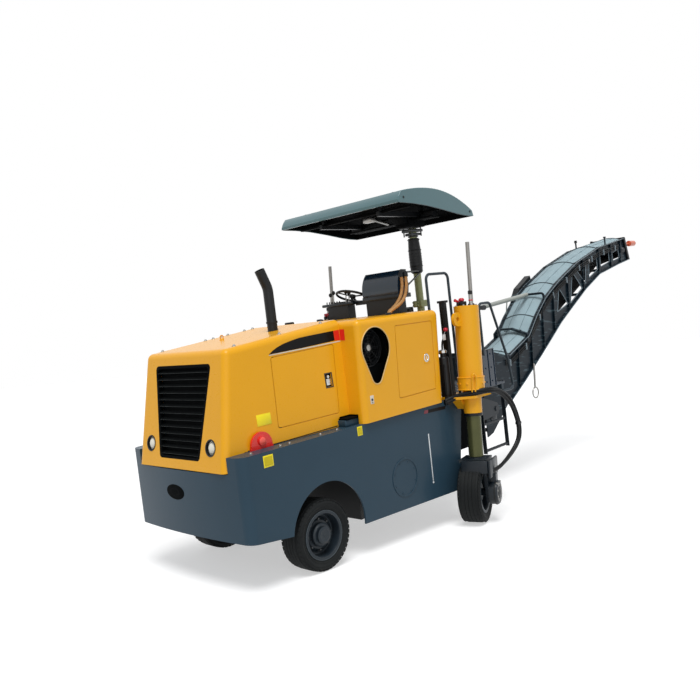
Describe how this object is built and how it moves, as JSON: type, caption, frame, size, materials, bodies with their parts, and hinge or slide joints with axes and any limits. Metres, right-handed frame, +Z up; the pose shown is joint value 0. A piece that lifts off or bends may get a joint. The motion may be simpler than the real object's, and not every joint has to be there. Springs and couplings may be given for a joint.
{
  "type": "cold planer milling machine",
  "caption": "Wheeled road milling machine with a cutting drum, lifting rear legs, canopy and a swan-neck discharge conveyor.",
  "frame": {"origin": "on the ground under the middle of the overall bounding box", "axes": "+X forward towards the hood, +Y the machine's left, +Z up; the body stands 3.75 degrees nose down on its raised rear legs"},
  "size_m": [8.8684, 2.4576, 3.392],
  "materials": {
    "beacon_orange": "gloss",
    "belt_rubber": "matte",
    "black_paint": "satin",
    "boot_rubber": "matte",
    "canopy_shell": "gloss",
    "canvas": "matte",
    "drum_steel": "satin",
    "engine_iron": "matte",
    "grey_plastic": "satin",
    "grey_steel": "satin",
    "lamp_clear": "gloss",
    "lug_red": "gloss",
    "olive_paint": "satin",
    "orange_paint": "gloss",
    "rod_steel": "satin",
    "seat_vinyl": "matte",
    "slate_paint": "satin",
    "tread": "matte"
  },
  "bodies": {
    "chassis": {"lower_body": "slate_paint", "main_frame": "black_paint", "drum_housing": "black_paint", "engine_hood": "orange_paint", "grille": "black_paint", "headlights": "lamp_clear", "rear_box": "orange_paint", "oil_cooler": "black_paint", "engine_block": "engine_iron", "exhaust_stack": "black_paint", "front_axle": "black_paint", "operator_deck": "slate_paint", "console": "black_paint", "steering_wheel": "black_paint", "operator_seat": "seat_vinyl", "canopy_post": "olive_paint", "post_boot": "boot_rubber", "canopy": "canopy_shell", "canopy_frame": "black_paint", "handrails": "slate_paint", "ladder": "slate_paint", "leg_column_left": "orange_paint", "leg_column_right": "orange_paint", "height_rods": "grey_steel", "tie_lug_left": "lug_red", "tie_lug_right": "lug_red", "filter_tower_left": "black_paint", "filter_tower_right": "black_paint"},
    "drum": {"milling_drum": "drum_steel"},
    "front_steer_left": {"front_knuckle_left": "black_paint"},
    "front_steer_right": {"front_knuckle_right": "black_paint"},
    "front_wheel_left": {"front_tyre_left": "tread", "front_rim_left": "slate_paint"},
    "front_wheel_right": {"front_tyre_right": "tread", "front_rim_right": "slate_paint"},
    "leg_left": {"leg_tube_left": "olive_paint"},
    "leg_right": {"leg_tube_right": "olive_paint"},
    "rear_steer_left": {"rear_fork_left": "black_paint"},
    "rear_steer_right": {"rear_fork_right": "black_paint"},
    "rear_wheel_left": {"rear_tyre_left": "tread", "rear_rim_left": "slate_paint"},
    "rear_wheel_right": {"rear_tyre_right": "tread", "rear_rim_right": "slate_paint"},
    "engine_door_left": {"engine_door_left": "orange_paint"},
    "engine_door_right": {"engine_door_right": "orange_paint"},
    "tank_door_left": {"tank_door_left": "orange_paint"},
    "tank_door_right": {"tank_door_right": "orange_paint"},
    "console_lid": {"console_cover": "grey_plastic"},
    "conveyor_slew": {"conveyor_yoke": "black_paint"},
    "conveyor": {"conveyor_boom": "black_paint", "boom_stay": "black_paint", "conveyor_belt": "belt_rubber", "belt_drums": "rod_steel", "conveyor_cover": "canvas", "beacon": "beacon_orange", "tow_hook": "grey_steel", "side_box": "black_paint"}
  },
  "joints": [
    {"name": "drum_spin", "type": "hinge", "parent": "chassis", "child": "drum", "pos_m": [2.50681, 0, 0.60581], "axis": [0, 1, 0], "continuous": true},
    {"name": "front_steer_left", "type": "hinge", "parent": "chassis", "child": "front_steer_left", "pos_m": [3.5644, 0.59, 0.305], "axis": [0.0654, 0, 0.9979], "range_deg": [-25, 25]},
    {"name": "front_spin_left", "type": "hinge", "parent": "front_steer_left", "child": "front_wheel_left", "pos_m": [3.5644, 0.692, 0.305], "axis": [0, 1, 0], "continuous": true},
    {"name": "leg_lift_left", "type": "slide", "parent": "chassis", "child": "leg_left", "axis": [0, 0, 1], "range_m": [0, 0.3]},
    {"name": "rear_steer_left", "type": "hinge", "parent": "leg_left", "child": "rear_steer_left", "pos_m": [1.5864, 0.99, 0.624], "axis": [0, 0, 1], "range_deg": [-21, 2]},
    {"name": "rear_spin_left", "type": "hinge", "parent": "rear_steer_left", "child": "rear_wheel_left", "pos_m": [1.59858, 0.95826, 0.305], "axis": [-0.3584, 0.9336, 0], "continuous": true},
    {"name": "engine_door_left", "type": "hinge", "parent": "chassis", "child": "engine_door_left", "pos_m": [3.84653, 0.63358, 1.53618], "axis": [-0.0103, 0.0533, -0.9985], "range_deg": [0, 100]},
    {"name": "tank_door_left", "type": "hinge", "parent": "chassis", "child": "tank_door_left", "pos_m": [2.53459, 0.855, 1.69483], "axis": [0.0015, 0, -1], "range_deg": [0, 100]},
    {"name": "front_steer_right", "type": "hinge", "parent": "chassis", "child": "front_steer_right", "pos_m": [3.5644, -0.59, 0.305], "axis": [0.0654, 0, 0.9979], "range_deg": [-25, 25]},
    {"name": "front_spin_right", "type": "hinge", "parent": "front_steer_right", "child": "front_wheel_right", "pos_m": [3.5644, -0.692, 0.305], "axis": [0, 1, 0], "continuous": true},
    {"name": "leg_lift_right", "type": "slide", "parent": "chassis", "child": "leg_right", "axis": [0, 0, 1], "range_m": [0, 0.3]},
    {"name": "rear_steer_right", "type": "hinge", "parent": "leg_right", "child": "rear_steer_right", "pos_m": [1.5864, -0.99, 0.624], "axis": [0, 0, 1], "range_deg": [-21, 2]},
    {"name": "rear_spin_right", "type": "hinge", "parent": "rear_steer_right", "child": "rear_wheel_right", "pos_m": [1.57422, -0.95826, 0.305], "axis": [-0.3584, 0.9336, 0], "continuous": true},
    {"name": "engine_door_right", "type": "hinge", "parent": "chassis", "child": "engine_door_right", "pos_m": [3.84653, -0.63358, 1.53618], "axis": [0.0103, 0.0533, 0.9985], "range_deg": [0, 100]},
    {"name": "tank_door_right", "type": "hinge", "parent": "chassis", "child": "tank_door_right", "pos_m": [2.53459, -0.855, 1.69483], "axis": [-0.0015, 0, 1], "range_deg": [0, 100]},
    {"name": "console_lid", "type": "hinge", "parent": "chassis", "child": "console_lid", "pos_m": [2.02217, 0, 2.37029], "axis": [0, 1, 0], "range_deg": [0, 75]},
    {"name": "conveyor_slew", "type": "hinge", "parent": "chassis", "child": "conveyor_slew", "pos_m": [0.54133, 0, 0.9992], "axis": [0.0654, 0, 0.9979], "range_deg": [-30, 30]},
    {"name": "conveyor_raise", "type": "hinge", "parent": "conveyor_slew", "child": "conveyor", "pos_m": [0.09369, 0, 0.97343], "axis": [0, 1, 0], "range_deg": [-10, 8]}
  ],
  "couplings": [
    {"joint": "front_steer_right", "follows": "front_steer_left", "ratio": 1},
    {"joint": "rear_steer_right", "follows": "rear_steer_left", "ratio": 1}
  ]
}
